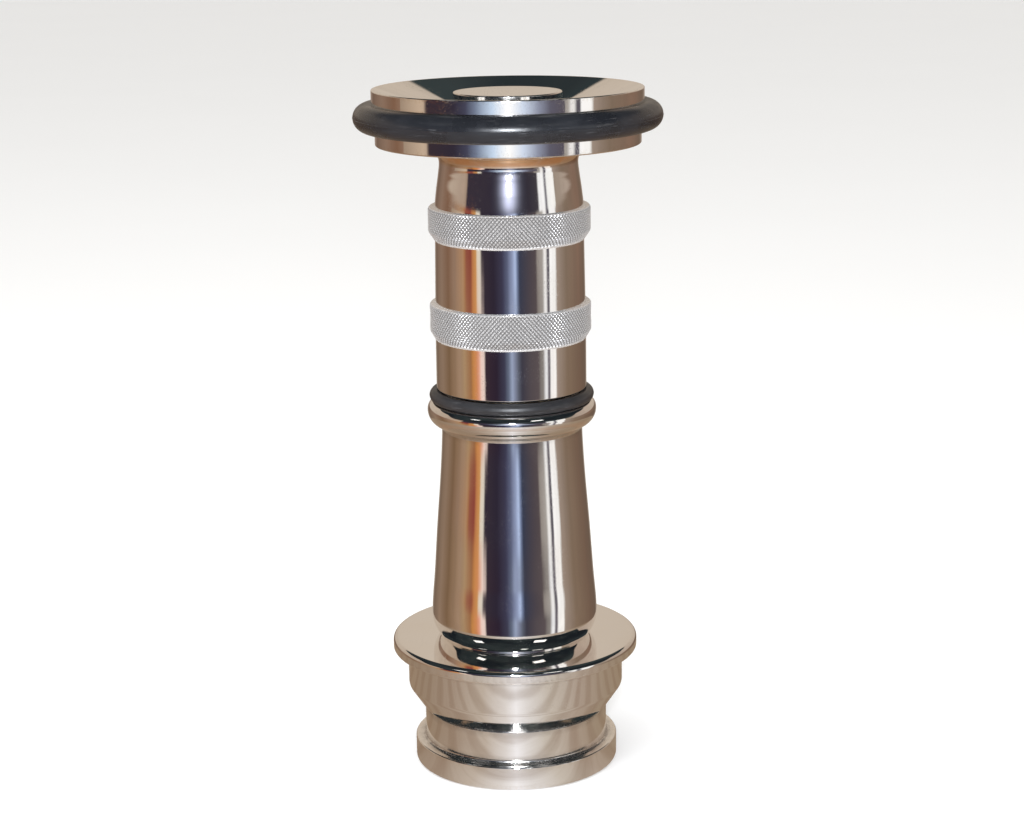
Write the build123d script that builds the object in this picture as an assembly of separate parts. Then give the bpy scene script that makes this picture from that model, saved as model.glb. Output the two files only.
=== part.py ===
from build123d import *
import math
import os

# Twist-sleeve jet / spray branch nozzle with a 63 mm instantaneous male
# coupling.  Millimetres, +Z up, origin at the centre of the coupling's bottom
# face, +Z along the waterway towards the mouth.  The sleeve is drawn fully
# screwed in, which is the shut position.

os.makedirs("parts", exist_ok=True)

# ------------------------------------------------------------------ driving
# coupling
LIP_R = 39.8            # outer radius of the instantaneous lip
LIP_TOP = 9.4           # height of the lip
NOSE_R = 35.8           # neck behind the lip, where the plungers lock
NOSE_TOP = 21.8
BODY_R = 42.15          # cylinder above the cone
BODY_LOW = 31.2
FLANGE_R = 47.9         # collar
FLANGE_LOW = 45.8
FLANGE_TOP = 50.8
INLET_R = 31.75         # 63.5 mm waterway
INLET_TOP = 20.0

# barrel
SPIGOT_R = 27.0         # screwed into the coupling
SPIGOT_LOW = 32.0
BORE_R = 23.5           # waterway of the barrel
BORE_TOP = 110.0
TUBE_R = 24.0           # the plain tube that the sleeve runs on
TUBE_BORE = 20.0
TUBE_TOP = 206.0
BEAD_R = 32.45
BEAD_TOP = 145.0
RING_SEAT_R = 26.9      # spigot under the buffer ring
RING_SEAT_TOP = 149.2

# sleeve
SLIDE_CLEAR = 0.06      # radial running clearance of sleeve on tube
SLEEVE_BORE = TUBE_R + SLIDE_CLEAR
SLEEVE_LOW = 149.9
SLEEVE_TOP = 251.8      # end of the spigot inside the head
SEAT_Z = 220.15         # underside of the throat shoulder
THROAT_R = 16.5
MOUTH_R = 22.5          # bore ahead of the throat
BAND_R = 30.8           # the two knurled grips
HEAD_SPIGOT_R = 25.2
NECK_R = 26.2           # narrowest place, where the cove of 6 mm radius begins
NECK_TOP = 236.5

# head
HEAD_LOW = 243.5
HEAD_TOP = 264.2
HEAD_R_LOW = 49.95
HEAD_R_TOP = 51.05
RING_CORD_R = 5.05      # bumper ring
RING_CENTRE_R = 53.0
RING_Z = 253.9
DISH_DEG = 19.5         # slope of the dish

# twist
LEAD = 16.0             # axial travel per turn of the cam grooves
TWIST_DEG = 270.0
TRAVEL = LEAD * TWIST_DEG / 360.0
SCREW_Z = 178.15        # guide screws at rest, in the middle of the rear grip
GROOVE_W = 5.0
GROOVE_FLOOR = 21.6
DOG_R = 2.3             # dog point of the guide screw

# stem
STEM_R = 8.0
STEM_THREAD_R = 5.0
HUB_R = 10.0
DISC_R = 20.5
DISC_TOP = 262.8


# ------------------------------------------------------------------ helpers
def corner(p, q, n, f):
    """Tangent points and mid-point of a rounded corner at q."""
    ax, ay = p[0] - q[0], p[1] - q[1]
    bx, by = n[0] - q[0], n[1] - q[1]
    la, lb = math.hypot(ax, ay), math.hypot(bx, by)
    ax, ay, bx, by = ax / la, ay / la, bx / lb, by / lb
    half = math.acos(max(-1.0, min(1.0, ax * bx + ay * by))) / 2.0
    back = f / math.tan(half)
    t1 = (q[0] + ax * back, q[1] + ay * back)
    t2 = (q[0] + bx * back, q[1] + by * back)
    mx, my = ax + bx, ay + by
    lm = math.hypot(mx, my)
    mx, my = mx / lm, my / lm
    centre = f / math.sin(half)
    mid = (q[0] + mx * (centre - f), q[1] + my * (centre - f))
    return t1, mid, t2


def turned_profile(items):
    """Solid of revolution about Z.  Items are (r, z), (r, z, fillet),
    ("arc", mid, end) or ("spline", points, start tangent, end tangent)."""
    with BuildPart() as bp:
        with BuildSketch(Plane.XZ):
            with BuildLine():
                n = len(items)
                pos = None
                first = None
                for i, it in enumerate(items):
                    if it[0] == "arc":
                        ThreePointArc(pos, it[1], it[2])
                        pos = it[2]
                    elif it[0] == "spline":
                        Spline(pos, *it[1], tangents=[it[2], it[3]])
                        pos = it[1][-1]
                    else:
                        q = (it[0], it[1])
                        if len(it) == 3 and it[2] > 0:
                            nxt = items[(i + 1) % n]
                            t1, mid, t2 = corner(pos, q, (nxt[0], nxt[1]), it[2])
                            if math.hypot(t1[0] - pos[0], t1[1] - pos[1]) > 1e-6:
                                Line(pos, t1)
                            ThreePointArc(t1, mid, t2)
                            pos = t2
                        else:
                            if pos is not None and math.hypot(q[0] - pos[0], q[1] - pos[1]) > 1e-6:
                                Line(pos, q)
                            pos = q
                            if first is None:
                                first = q
                if math.hypot(first[0] - pos[0], first[1] - pos[1]) > 1e-6:
                    Line(pos, first)
            make_face()
        revolve(axis=Axis.Z)
    return bp.part


def turned(points):
    return turned_profile(points)


def ring(r_in, r_out, z0, z1, chamfer_mm=0.0):
    c = chamfer_mm
    if c:
        return turned([(r_in + c, z0), (r_out - c, z0), (r_out, z0 + c),
                       (r_out, z1 - c), (r_out - c, z1), (r_in + c, z1),
                       (r_in, z1 - c), (r_in, z0 + c)])
    return turned([(r_in, z0), (r_out, z0), (r_out, z1), (r_in, z1)])


def torus_ring(centre_r, cord_r, z):
    with BuildPart() as bp:
        with BuildSketch(Plane.XZ):
            with Locations((centre_r, z)):
                Circle(cord_r)
        revolve(axis=Axis.Z)
    return bp.part


def radial_cylinder(r, x0, x1, z, azimuth):
    """Cylinder along the radius at an azimuth, from x0 to x1."""
    cyl = Solid.make_cylinder(r, x1 - x0, Plane(origin=(x0, 0, z), x_dir=(0, 1, 0), z_dir=(1, 0, 0)))
    return cyl.rotate(Axis.Z, azimuth)


def hexagon(af, z0, z1):
    with BuildPart() as bp:
        with BuildSketch(Plane.XY.offset(z0)):
            RegularPolygon(af / 2.0, 6, major_radius=False)
        extrude(amount=z1 - z0)
    return bp.part


def save(shape, name):
    export_step(shape, "parts/%s.step" % name)


def one(shape):
    """The single solid of a result."""
    s = shape.solids()
    assert len(s) == 1, len(s)
    return s[0]


# ------------------------------------------------------------------ coupling
coupling_profile = [
    (INLET_R + 0.8, 0.0),
    (LIP_R, 0.0, 1.4), (LIP_R, LIP_TOP, 0.6),
    (NOSE_R, LIP_TOP, 1.2), (NOSE_R, NOSE_TOP, 1.0),
    (BODY_R, BODY_LOW, 2.6), (BODY_R, FLANGE_LOW, 0.8),
    (FLANGE_R, FLANGE_LOW, 0.8), (FLANGE_R, FLANGE_TOP, 1.8),
    (SPIGOT_R + 0.02, FLANGE_TOP), (SPIGOT_R + 0.02, SPIGOT_LOW - 2.0),
    (BORE_R, SPIGOT_LOW - 2.0), (BORE_R, SPIGOT_LOW - 3.5),
    (INLET_R, INLET_TOP), (INLET_R, 0.8),
]

COUPLING_SCREW_Z = 41.3  # grub screw through the coupling's cylinder
male_coupling = turned_profile(coupling_profile)
male_coupling = male_coupling - radial_cylinder(2.5, SPIGOT_R - 2.0, FLANGE_R + 2.0, COUPLING_SCREW_Z, 90.0)
male_coupling = one(male_coupling)
save(male_coupling, "male_coupling")

# joint ring at the bottom of the barrel's socket
coupling_gasket = ring(BORE_R + 0.3, SPIGOT_R - 0.1, SPIGOT_LOW - 2.0, SPIGOT_LOW)
save(coupling_gasket, "coupling_gasket")

# M5 cup-point grub screw through the coupling's cylinder, into the spigot
screw = radial_cylinder(2.48, SPIGOT_R - 0.9, BODY_R - 0.6, COUPLING_SCREW_Z, 90.0)
socket = Solid.extrude(
    Plane(origin=(BODY_R - 3.4, 0, COUPLING_SCREW_Z), x_dir=(0, 1, 0), z_dir=(1, 0, 0))
    * Face(Wire.make_polygon([(1.45 * math.cos(math.radians(60 * k)), 1.45 * math.sin(math.radians(60 * k)), 0)
                              for k in range(6)], close=True)),
    Vector(4.0, 0, 0)).rotate(Axis.Z, 90.0)
coupling_lock_screw = one(screw - socket)
save(coupling_lock_screw, "coupling_lock_screw")


# ------------------------------------------------------------------ barrel
barrel_profile = [
    (BORE_R, SPIGOT_LOW), (SPIGOT_R - 0.8, SPIGOT_LOW), (SPIGOT_R, SPIGOT_LOW + 0.8),
    (SPIGOT_R, FLANGE_TOP + 0.01), (28.5, FLANGE_TOP + 0.01),
    # rounded foot of the barrel
    ("arc", (31.31, 54.76), (32.3, 59.5)),
    ("spline", [(31.0, 77.5), (29.75, 95.0), (28.0, 116.5), (27.05, 133.8)], (0.0, 1.0), (-0.03, 1.0)),
    # neck under the bead, and the bead
    ("arc", (27.5, 135.2), (28.8, 136.0)),
    ("arc", (31.55, 138.4), (BEAD_R, 141.9)),
    ("arc", (31.95, 143.75), (30.6, BEAD_TOP)),
    (RING_SEAT_R, BEAD_TOP), (RING_SEAT_R, RING_SEAT_TOP), (TUBE_R, RING_SEAT_TOP),
    # two O-ring grooves near the front end of the tube
    (TUBE_R, 195.6), (21.9, 195.6), (21.9, 198.4), (TUBE_R, 198.4),
    (TUBE_R, 200.6), (21.9, 200.6), (21.9, 203.4), (TUBE_R, 203.4),
    (TUBE_R, TUBE_TOP - 1.2), (TUBE_R - 1.2, TUBE_TOP), (TUBE_BORE, TUBE_TOP),
    (TUBE_BORE, BORE_TOP + 4.0), (21.6, BORE_TOP), (BORE_R, BORE_TOP),
    # groove for the circlip under the spider
    (BORE_R, 97.9), (24.9, 97.9), (24.9, 96.2), (BORE_R, 96.2),
]

barrel = turned_profile(barrel_profile)

# two cam grooves: a two-start right-hand helix, milled with round ends
groove_mid_r = (GROOVE_FLOOR + TUBE_R + 1.0) / 2.0
groove_depth = TUBE_R + 1.0 - GROOVE_FLOOR
# flat-bottomed groove, as a helical ribbon between two radii
helix = Edge.make_helix(LEAD, LEAD * TWIST_DEG / 360.0, groove_mid_r, center=(0, 0, SCREW_Z))
tangent = helix.tangent_at(0)
start = helix.position_at(0)
sec_plane = Plane(origin=start, x_dir=(1, 0, 0), z_dir=tangent)
section = Face.make_rect(groove_depth, GROOVE_W, sec_plane)
ribbon = Solid.sweep(section, path=helix, is_frenet=True)
cutters = []
for k in range(2):
    az = 180.0 * k
    cutters.append(ribbon.rotate(Axis.Z, az))
    cutters.append(radial_cylinder(GROOVE_W / 2.0, GROOVE_FLOOR, TUBE_R + 1.0, SCREW_Z, az))
    cutters.append(radial_cylinder(GROOVE_W / 2.0, GROOVE_FLOOR, TUBE_R + 1.0, SCREW_Z + TRAVEL, az + TWIST_DEG))
for c in cutters:
    barrel = barrel - c
# dimple for the coupling's grub screw
barrel = barrel - radial_cylinder(2.6, SPIGOT_R - 1.0, SPIGOT_R + 2.0, COUPLING_SCREW_Z, 90.0)
barrel = one(barrel)
save(barrel, "barrel")

# rubber buffer ring between the bead and the sleeve
buffer_ring = torus_ring(29.27, 2.33, 147.36)
save(buffer_ring, "buffer_ring")

# O-rings of the tube
for name, z in (("rear_seal_ring", 197.0), ("front_seal_ring", 202.0)):
    save(ring(21.95, 24.02, z - 1.35, z + 1.35, 0.45), name)

# ------------------------------------------------------------------ spider
SPIDER_LOW = 98.0
SPIDER_TOP = 109.95
rim = ring(20.6, BORE_R - 0.03, SPIDER_LOW, SPIDER_TOP)
hub = turned([(STEM_THREAD_R + 0.1, SPIDER_LOW - 6.0), (HUB_R - 1.5, SPIDER_LOW - 6.0), (HUB_R, SPIDER_LOW - 2.0),
              (HUB_R, SPIDER_TOP + 1.0), (HUB_R - 1.5, SPIDER_TOP + 4.0), (STEM_THREAD_R + 0.1, SPIDER_TOP + 4.0)])
spider = rim + hub
for k in range(3):
    with BuildPart() as vane:
        with BuildSketch(Plane.XZ.offset(-1.5)):
            with BuildLine():
                Polyline((HUB_R - 2.0, SPIDER_LOW - 1.0), (15.0, SPIDER_LOW), (21.2, SPIDER_LOW),
                         (21.2, SPIDER_TOP), (HUB_R - 2.0, SPIDER_TOP), close=True)
            make_face()
        extrude(amount=3.0, dir=(0, -1, 0))
    spider = spider + vane.part.rotate(Axis.Z, 30.0 + 120.0 * k)
spider = one(spider)
save(spider, "stem_spider")

# internal circlip that holds the spider up against its shoulder
clip = ring(21.7, 24.75, 96.35, 97.85)
clip = clip - Pos(24.0, 0, 97.1) * Box(12.0, 7.0, 4.0)
for sgn in (-1, 1):
    ear = Pos(21.2, sgn * 6.1, 0) * Cylinder(2.3, 1.5, align=(Align.CENTER, Align.CENTER, Align.MIN))
    ear = ear - Pos(21.0, sgn * 6.1, 0) * Cylinder(0.9, 4.0)
    clip = clip + Pos(0, 0, 96.35) * (ear - Pos(24.0, 0, 0) * Box(12.0, 7.0, 8.0))
clip = one(clip & ring(1.0, 24.75, 90.0, 100.0))
save(clip, "spider_circlip")

# ------------------------------------------------------------------ stem
STEM_SHOULDER = SPIDER_TOP + 4.0
VALVE_LOW = TUBE_TOP + 3.0
stem = turned([(0, 82.0), (STEM_THREAD_R - 0.8, 82.0), (STEM_THREAD_R, 82.8), (STEM_THREAD_R, STEM_SHOULDER),
               (STEM_R, STEM_SHOULDER), (STEM_R, VALVE_LOW), (6.0, VALVE_LOW), (6.0, 234.0),
               (STEM_THREAD_R, 234.5), (STEM_THREAD_R, 254.2), (STEM_THREAD_R - 0.8, 255.0), (0, 255.0)])
save(one(stem), "stem")

stem_washer = ring(STEM_THREAD_R + 0.15, 9.5, 90.45, 91.95, 0.2)
save(stem_washer, "stem_washer")
stem_nut = hexagon(16.0, 83.9, 90.4) - Pos(0, 0, 80) * Cylinder(STEM_THREAD_R + 0.02, 30.0)
stem_nut = stem_nut & turned([(0, 83.9), (8.1, 83.9), (9.3, 84.6), (9.3, 89.7), (8.1, 90.4), (0, 90.4)])
save(one(stem_nut), "stem_nut")

# valve head, carrying the rubber seat washer that closes the throat
valve_head = turned([(6.05, VALVE_LOW), (9.5, VALVE_LOW), (15.0, VALVE_LOW + 2.6), (19.0, VALVE_LOW + 6.6),
                     (19.3, VALVE_LOW + 7.4), (19.3, VALVE_LOW + 9.5), (19.0, VALVE_LOW + 9.8),
                     (17.9, VALVE_LOW + 9.8), (17.9, VALVE_LOW + 7.8), (6.05, VALVE_LOW + 7.8)])
save(one(valve_head), "valve_head")
SEAT_LOW = VALVE_LOW + 7.8
valve_seat = ring(6.1, 17.85, SEAT_LOW, SEAT_Z - 0.1, 0.0)
save(valve_seat, "valve_seat_rubber")
clamp_washer = turned([(6.1, SEAT_Z - 0.1), (12.0, SEAT_Z - 0.1), (12.6, SEAT_Z + 0.5), (12.6, SEAT_Z + 1.2),
                       (12.0, SEAT_Z + 1.8), (6.1, SEAT_Z + 1.8)])
save(clamp_washer, "seat_clamp_washer")
clamp_nut = hexagon(19.0, SEAT_Z + 1.8, SEAT_Z + 9.8) - Pos(0, 0, SEAT_Z) * Cylinder(6.02, 30.0)
clamp_nut = clamp_nut & turned([(0, SEAT_Z + 1.8), (9.7, SEAT_Z + 1.8), (11.1, SEAT_Z + 2.6), (11.1, SEAT_Z + 9.0),
                                (9.7, SEAT_Z + 9.8), (0, SEAT_Z + 9.8)])
save(one(clamp_nut), "seat_clamp_nut")

# deflector: the flat disc in the mouth, screwed on the stem from the front
DEFL_LOW = 245.6


deflector_profile = [
    (STEM_THREAD_R + 0.05, DEFL_LOW), (8.2, DEFL_LOW), (8.8, DEFL_LOW + 0.6), (8.8, 249.6),
    ("arc", (12.6, 256.4), (19.9, 259.9)),
    (DISC_R, 260.5), (DISC_R, DISC_TOP, 0.5), (0, DISC_TOP), (0, 257.0),
    (STEM_THREAD_R + 0.05, 256.0),
]

deflector = turned_profile(deflector_profile)
save(one(deflector), "deflector")
lock_nut = hexagon(14.0, DEFL_LOW - 5.2, DEFL_LOW - 0.1) - Pos(0, 0, DEFL_LOW) * Cylinder(STEM_THREAD_R + 0.02, 30.0)
lock_nut = lock_nut & turned([(0, DEFL_LOW - 5.2), (7.0, DEFL_LOW - 5.2), (8.1, DEFL_LOW - 4.6),
                              (8.1, DEFL_LOW - 0.7), (7.0, DEFL_LOW - 0.1), (0, DEFL_LOW - 0.1)])
save(one(lock_nut), "deflector_lock_nut")

# ------------------------------------------------------------------ sleeve
WIPER_LOW = 154.0
WIPER_W = 3.2


sleeve_profile = [
    (SLEEVE_BORE + 0.8, SLEEVE_LOW), (28.8, SLEEVE_LOW, 0.8), (28.75, 169.3),
    # rear grip
    (BAND_R, 172.7), (BAND_R, 182.7), (BAND_R - 0.7, 183.4), (28.6, 183.4), (28.25, 207.2),
    # front grip
    (BAND_R, 210.8), (BAND_R, 219.4), (BAND_R - 0.8, 220.2), (28.15, 220.2),
    # neck, and the cove under the head
    ("spline", [(27.45, 226.5), (26.6, 232.5), (NECK_R, NECK_TOP)], (-0.08, 1.0), (0.0, 1.0)),
    ("arc", (NECK_R + 1.404, NECK_TOP + 3.857), (NECK_R + 4.958, NECK_TOP + 5.909)),
    (NECK_R + 4.958, 243.45),
    # spigot for the head
    (HEAD_SPIGOT_R, 243.45), (HEAD_SPIGOT_R, SLEEVE_TOP - 0.6), (HEAD_SPIGOT_R - 0.6, SLEEVE_TOP),
    (MOUTH_R, SLEEVE_TOP), (MOUTH_R, 234.5),
    # throat, and the shoulder that meets the rubber seat
    ("arc", (19.6, 230.2), (THROAT_R, 225.8)),
    (THROAT_R, SEAT_Z + 0.8), (THROAT_R + 0.8, SEAT_Z), (21.0, SEAT_Z), (SLEEVE_BORE, SEAT_Z - 3.0),
    # groove for the wiper ring
    (SLEEVE_BORE, WIPER_LOW + WIPER_W), (26.2, WIPER_LOW + WIPER_W), (26.2, WIPER_LOW),
    (SLEEVE_BORE, WIPER_LOW), (SLEEVE_BORE, SLEEVE_LOW + 0.8),
]

sleeve = turned_profile(sleeve_profile)
for k in range(2):
    sleeve = sleeve - radial_cylinder(3.0, SLEEVE_BORE - 2.0, BAND_R + 2.0, SCREW_Z, 180.0 * k)
# seat of the head's lock screw
sleeve = sleeve - radial_cylinder(2.05, HEAD_SPIGOT_R - 0.8, HEAD_SPIGOT_R + 2.0, 246.1, 90.0)
sleeve = one(sleeve)
save(sleeve, "twist_sleeve")

# two dog-point guide screws that run in the cam grooves
guides = []
for k in range(2):
    g = radial_cylinder(2.98, 24.9, BAND_R - 0.35, SCREW_Z, 0.0)
    g = g + radial_cylinder(DOG_R, GROOVE_FLOOR + 0.25, 25.2, SCREW_Z, 0.0)
    hexsock = Solid.extrude(
        Plane(origin=(BAND_R - 3.0, 0, SCREW_Z), x_dir=(0, 1, 0), z_dir=(1, 0, 0))
        * Face(Wire.make_polygon([(1.73 * math.cos(math.radians(60 * j)), 1.73 * math.sin(math.radians(60 * j)), 0)
                                  for j in range(6)], close=True)),
        Vector(4.0, 0, 0))
    g = one(g - hexsock)
    guides.append(g.rotate(Axis.Z, 180.0 * k))
save(Compound(children=guides), "guide_screws")

# wiper ring in the sleeve's rear end: it slides with the sleeve
wiper = ring(24.05, 26.15, WIPER_LOW + 0.05, WIPER_LOW + WIPER_W - 0.05)
save(wiper, "wiper_ring")


# ------------------------------------------------------------------ head
def dish_z(r):
    return HEAD_TOP - (HEAD_R_TOP - 0.9 - r) * math.tan(math.radians(DISH_DEG))


RING_GROOVE_R = RING_CORD_R + 0.02
DZ_LOW = math.sqrt(RING_GROOVE_R ** 2 - (RING_CENTRE_R - HEAD_R_LOW) ** 2)
DZ_TOP = math.sqrt(RING_GROOVE_R ** 2 - (RING_CENTRE_R - HEAD_R_TOP) ** 2)
SOCKET_R = HEAD_SPIGOT_R + 0.02
DISH_IN = MOUTH_R + 0.4
head_profile = [
    (SOCKET_R, HEAD_LOW), (HEAD_R_LOW, HEAD_LOW, 0.5), (HEAD_R_LOW, RING_Z - DZ_LOW),
    # half-round groove of the rubber bumper
    ("arc", (RING_CENTRE_R - RING_GROOVE_R, RING_Z), (HEAD_R_TOP, RING_Z + DZ_TOP)),
    (HEAD_R_TOP, HEAD_TOP, 0.4), (HEAD_R_TOP - 0.9, HEAD_TOP),
    (DISH_IN, dish_z(DISH_IN)), (MOUTH_R, dish_z(DISH_IN) - 0.5), (MOUTH_R, SLEEVE_TOP + 0.05),
    (SOCKET_R, SLEEVE_TOP + 0.05),
    # groove for the joint ring in the socket's wall
    (SOCKET_R, 250.6), (26.6, 250.6), (26.6, 248.6), (SOCKET_R, 248.6),
]

HEAD_SCREW_Z = 246.1     # M4 lock screw at the inner end of a hole from the rim
head = turned_profile(head_profile)
head = head - radial_cylinder(2.0, HEAD_SPIGOT_R - 2.0, HEAD_R_LOW + 2.0, HEAD_SCREW_Z, 90.0)
head = one(head)
save(head, "bumper_head")

lock = radial_cylinder(1.98, HEAD_SPIGOT_R - 0.75, HEAD_SPIGOT_R + 7.0, HEAD_SCREW_Z, 90.0)
lock_socket = Solid.extrude(
    Plane(origin=(HEAD_SPIGOT_R + 4.8, 0, HEAD_SCREW_Z), x_dir=(0, 1, 0), z_dir=(1, 0, 0))
    * Face(Wire.make_polygon([(1.15 * math.cos(math.radians(60 * j)), 1.15 * math.sin(math.radians(60 * j)), 0)
                              for j in range(6)], close=True)),
    Vector(4.0, 0, 0)).rotate(Axis.Z, 90.0)
save(one(lock - lock_socket), "head_lock_screw")

# joint ring between head and sleeve
head_seal = ring(HEAD_SPIGOT_R + 0.03, 26.55, 248.65, 250.55, 0.3)
save(head_seal, "head_seal_ring")

# rubber bumper
bumper = torus_ring(RING_CENTRE_R, RING_CORD_R, RING_Z)
save(bumper, "bumper_ring")
print("travel", TRAVEL, "mm over", TWIST_DEG, "deg")
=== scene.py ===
import math

import bmesh
import bpy
import numpy as np
from mathutils import Matrix, Vector, kdtree


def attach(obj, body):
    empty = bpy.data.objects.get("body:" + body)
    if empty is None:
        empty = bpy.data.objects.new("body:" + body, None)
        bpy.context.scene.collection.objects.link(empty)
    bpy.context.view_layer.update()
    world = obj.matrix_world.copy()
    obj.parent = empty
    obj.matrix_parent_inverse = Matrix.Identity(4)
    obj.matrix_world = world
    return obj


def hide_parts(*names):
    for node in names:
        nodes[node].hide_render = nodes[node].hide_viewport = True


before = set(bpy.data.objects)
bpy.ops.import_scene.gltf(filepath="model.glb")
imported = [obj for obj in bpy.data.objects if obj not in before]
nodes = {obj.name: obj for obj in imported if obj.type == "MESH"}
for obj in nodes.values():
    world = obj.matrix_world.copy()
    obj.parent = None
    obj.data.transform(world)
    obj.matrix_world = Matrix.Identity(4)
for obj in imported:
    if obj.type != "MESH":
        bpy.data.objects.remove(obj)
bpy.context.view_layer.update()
scene = bpy.context.scene
MM = 0.001

# ---------------------------------------------------------------- dimensions
# the same figures as the CAD part, in millimetres
LIP_R, LIP_TOP, NOSE_R, NOSE_TOP = 39.8, 9.4, 35.8, 21.8
BODY_R, BODY_LOW = 42.15, 31.2
FLANGE_R, FLANGE_LOW, FLANGE_TOP = 47.9, 45.8, 50.8
NECK_R, NECK_TOP = 26.2, 236.5
INLET_R, INLET_TOP = 31.75, 20.0
SPIGOT_R, SPIGOT_LOW, BORE_R, BORE_TOP = 27.0, 32.0, 23.5, 110.0
TUBE_R, TUBE_BORE = 24.0, 20.0
BEAD_R, BEAD_TOP, RING_SEAT_R, RING_SEAT_TOP = 32.45, 145.0, 26.9, 149.2
SLEEVE_BORE, SLEEVE_LOW, SLEEVE_TOP, SEAT_Z = 24.06, 149.9, 251.8, 220.15
THROAT_R, MOUTH_R, BAND_R, HEAD_SPIGOT_R = 16.5, 22.5, 30.8, 25.2
HEAD_LOW, HEAD_TOP, HEAD_R_LOW, HEAD_R_TOP = 243.5, 264.2, 49.95, 51.05
RING_CORD_R, RING_CENTRE_R, RING_Z, DISH_DEG = 5.05, 53.0, 253.9, 19.5
WIPER_LOW, WIPER_W = 154.0, 3.2
DISC_R, DISC_TOP, DEFL_LOW, STEM_THREAD_R = 20.5, 262.8, 245.6, 5.0


# ---------------------------------------------------------------- node helper
class Nodes:
    """Small helper for node trees."""

    def __init__(self, tree):
        self.t = tree
        self.t.nodes.clear()

    def n(self, kind, **props):
        node = self.t.nodes.new(kind)
        for k, v in props.items():
            setattr(node, k, v)
        return node

    def link(self, a, b):
        self.t.links.new(a, b)

    def put(self, socket, value):
        if isinstance(value, bpy.types.NodeSocket):
            self.link(value, socket)
        else:
            socket.default_value = value

    def math(self, op, a, b=0.0, c=None, clamp=False):
        m = self.n("ShaderNodeMath", operation=op, use_clamp=clamp)
        self.put(m.inputs[0], a)
        self.put(m.inputs[1], b)
        if c is not None:
            self.put(m.inputs[2], c)
        return m.outputs[0]

    def remap(self, v, a, b, c=0.0, d=1.0, smooth=True):
        m = self.n("ShaderNodeMapRange", interpolation_type="SMOOTHSTEP" if smooth else "LINEAR", clamp=True)
        self.put(m.inputs["Value"], v)
        for key, val in (("From Min", a), ("From Max", b), ("To Min", c), ("To Max", d)):
            self.put(m.inputs[key], val)
        return m.outputs[0]

    def mix(self, f, a, b, blend="MIX"):
        m = self.n("ShaderNodeMix", data_type="RGBA", blend_type=blend, clamp_factor=True)
        self.put(m.inputs[0], f)
        for s, v in ((m.inputs[6], a), (m.inputs[7], b)):
            if isinstance(v, bpy.types.NodeSocket):
                self.link(v, s)
            else:
                s.default_value = (*v[:3], 1.0)
        return m.outputs[2]

    def noise(self, vec, scale, detail=3.0, rough=0.55, dims="3D", w=None, distortion=0.0):
        m = self.n("ShaderNodeTexNoise", noise_dimensions=dims)
        if vec is not None and dims != "1D":
            self.link(vec, m.inputs["Vector"])
        if w is not None:
            self.put(m.inputs["W"], w)
        m.inputs["Scale"].default_value = scale
        m.inputs["Detail"].default_value = detail
        m.inputs["Roughness"].default_value = rough
        m.inputs["Distortion"].default_value = distortion
        return m.outputs["Fac"]

    def mapping(self, vec, scale=(1, 1, 1), rot=(0, 0, 0), loc=(0, 0, 0)):
        m = self.n("ShaderNodeMapping")
        self.link(vec, m.inputs["Vector"])
        m.inputs["Scale"].default_value = scale
        m.inputs["Rotation"].default_value = rot
        m.inputs["Location"].default_value = loc
        return m.outputs["Vector"]

    def attr(self, name):
        return self.n("ShaderNodeAttribute", attribute_name=name).outputs["Fac"]

    def bump(self, height, distance, strength=1.0, normal=None):
        m = self.n("ShaderNodeBump")
        m.inputs["Strength"].default_value = strength
        m.inputs["Distance"].default_value = distance
        self.link(height, m.inputs["Height"])
        if normal is not None:
            self.link(normal, m.inputs["Normal"])
        return m.outputs["Normal"]


def lin(c):
    """Display colour (0-255) to scene-linear."""
    out = []
    for v in c:
        v = v / 255.0
        out.append(v / 12.92 if v <= 0.04045 else ((v + 0.055) / 1.055) ** 2.4)
    return tuple(out)


def new_material(name):
    mat = bpy.data.materials.new(name)
    mat.use_nodes = True
    return mat, Nodes(mat.node_tree)


def shader(g, **values):
    p = g.n("ShaderNodeBsdfPrincipled")
    out = g.n("ShaderNodeOutputMaterial")
    g.link(p.outputs["BSDF"], out.inputs["Surface"])
    for k, v in values.items():
        g.put(p.inputs[k.replace("_", " ")], v)
    return p


# ---------------------------------------------------------------- materials
def scratches(g, obj, density=0.6):
    """Hair-fine random scratches, as a 0-1 mask."""
    total = None
    for k, (rot, stretch) in enumerate((((0.5, 0.2, 0.9), 46.0), ((1.1, 0.7, 0.1), 60.0), ((0.2, 1.3, 0.5), 38.0))):
        v = g.mapping(obj, scale=(2600.0, stretch, 2600.0), rot=rot, loc=(k * 3.1, k * 1.7, 0))
        f = g.noise(v, 1.0, detail=1.0, rough=0.4)
        f = g.remap(f, 0.70 - 0.05 * density, 0.74)
        total = f if total is None else g.math("MAXIMUM", total, f)
    gate = g.remap(g.noise(obj, 60.0, detail=2.0), 0.45, 0.62)
    return g.math("MULTIPLY", total, gate)


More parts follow.
